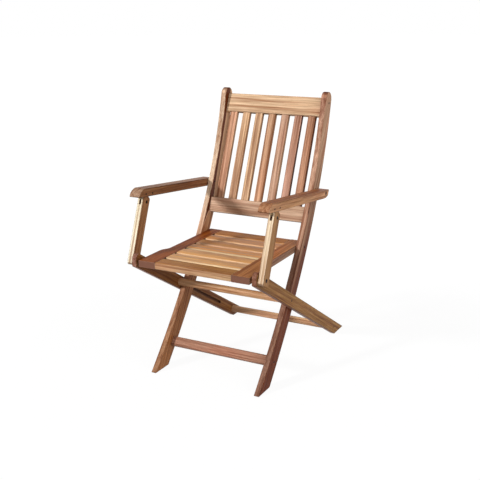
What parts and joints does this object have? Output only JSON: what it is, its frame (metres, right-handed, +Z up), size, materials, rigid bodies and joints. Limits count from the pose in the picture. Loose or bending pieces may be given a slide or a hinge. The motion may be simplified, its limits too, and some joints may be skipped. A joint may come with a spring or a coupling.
{
  "type": "folding armchair",
  "caption": "Slatted wooden folding armchair: bowed stiles run from front feet to backrest, crossed by straight rear legs; forked posts carry armrests that fold flat with the seat.",
  "frame": {"origin": "on the floor, under the middle of the box that the open chair fills", "axes": "+X to the right of someone who looks at the chair's front, +Y to its back, +Z up"},
  "size_m": [0.5, 0.748, 0.9155],
  "materials": {
    "stile_wood": "sanded, lightly oiled",
    "leg_wood": "sanded, lightly oiled",
    "rail_wood": "sanded, lightly oiled",
    "slat_wood": "sanded, lightly oiled",
    "seat_wood": "sanded, lightly oiled",
    "seat_rail_wood": "sanded, lightly oiled",
    "bar_wood": "sanded, lightly oiled",
    "arm_wood": "sanded, lightly oiled",
    "post_wood": "sanded, lightly oiled",
    "pin_steel": "dull",
    "plate_brass": "dull"
  },
  "bodies": {
    "back_frame": {"top_rail": "rail_wood", "lower_rail": "rail_wood", "front_stretcher": "bar_wood", "back_slat_1": "slat_wood", "back_slat_2": "slat_wood", "back_slat_3": "slat_wood", "back_slat_4": "slat_wood", "back_slat_5": "slat_wood", "back_slat_6": "slat_wood", "back_slat_7": "slat_wood", "stile_left": "stile_wood", "stile_right": "stile_wood", "slide_pin_left": "pin_steel", "slide_pin_right": "pin_steel", "top_rail_nail_left": "pin_steel", "top_rail_nail_right": "pin_steel", "front_stretcher_nail_left": "pin_steel", "front_stretcher_nail_right": "pin_steel"},
    "leg_frame": {"leg_left": "leg_wood", "leg_right": "leg_wood", "stop_bar": "bar_wood", "rear_stretcher": "bar_wood", "stop_bar_nail_left": "pin_steel", "stop_bar_nail_right": "pin_steel", "rear_stretcher_nail_left": "pin_steel", "rear_stretcher_nail_right": "pin_steel"},
    "seat": {"seat_front_board": "seat_wood", "seat_slat_1": "seat_wood", "seat_slat_2": "seat_wood", "seat_slat_3": "seat_wood", "seat_slat_4": "seat_wood", "seat_slat_5": "seat_wood", "seat_rear_board": "seat_wood", "seat_rail_left": "seat_rail_wood", "seat_rail_right": "seat_rail_wood", "rear_pivot_left": "pin_steel", "rear_pivot_right": "pin_steel", "front_pivot_left": "pin_steel", "front_pivot_right": "pin_steel"},
    "arm_left": {"armrest_left": "arm_wood", "tongue_left": "plate_brass", "tongue_pin_front_left": "pin_steel", "tongue_pin_rear_left": "pin_steel", "arm_pivot_left": "pin_steel", "arm_spacer_left": "plate_brass"},
    "arm_right": {"armrest_right": "arm_wood", "tongue_right": "plate_brass", "tongue_pin_front_right": "pin_steel", "tongue_pin_rear_right": "pin_steel", "arm_pivot_right": "pin_steel", "arm_spacer_right": "plate_brass"},
    "post_left": {"post_left": "post_wood", "fork_pin_left": "pin_steel"},
    "post_right": {"post_right": "post_wood", "fork_pin_right": "pin_steel"}
  },
  "joints": [
    {"name": "seat_fold", "type": "hinge", "parent": "back_frame", "child": "seat", "pos_m": [0, 0.03202, 0.40795], "axis": [-1, 0, 0], "range_deg": [0, 99]},
    {"name": "leg_fold", "type": "hinge", "parent": "seat", "child": "leg_frame", "pos_m": [0, -0.34947, 0.40795], "axis": [-1, 0, 0], "range_deg": [-22.5, 0]},
    {"name": "arm_fold_left", "type": "hinge", "parent": "back_frame", "child": "arm_left", "pos_m": [-0.218, 0.10602, 0.58645], "axis": [-1, 0, 0], "range_deg": [0, 99]},
    {"name": "arm_fold_right", "type": "hinge", "parent": "back_frame", "child": "arm_right", "pos_m": [0.218, 0.10602, 0.58645], "axis": [-1, 0, 0], "range_deg": [0, 99]},
    {"name": "post_fold_left", "type": "hinge", "parent": "seat", "child": "post_left", "pos_m": [-0.23635, -0.34947, 0.40795], "axis": [-1, 0, 0], "range_deg": [-99, 0]},
    {"name": "post_fold_right", "type": "hinge", "parent": "seat", "child": "post_right", "pos_m": [0.23635, -0.34947, 0.40795], "axis": [-1, 0, 0], "range_deg": [-99, 0]}
  ],
  "couplings": [
    {"joint": "leg_fold", "follows": "seat_fold", "ratio": -0.2268},
    {"joint": "arm_fold_left", "follows": "seat_fold", "ratio": 1},
    {"joint": "arm_fold_right", "follows": "seat_fold", "ratio": 1},
    {"joint": "post_fold_left", "follows": "seat_fold", "ratio": -1},
    {"joint": "post_fold_right", "follows": "seat_fold", "ratio": -1}
  ]
}
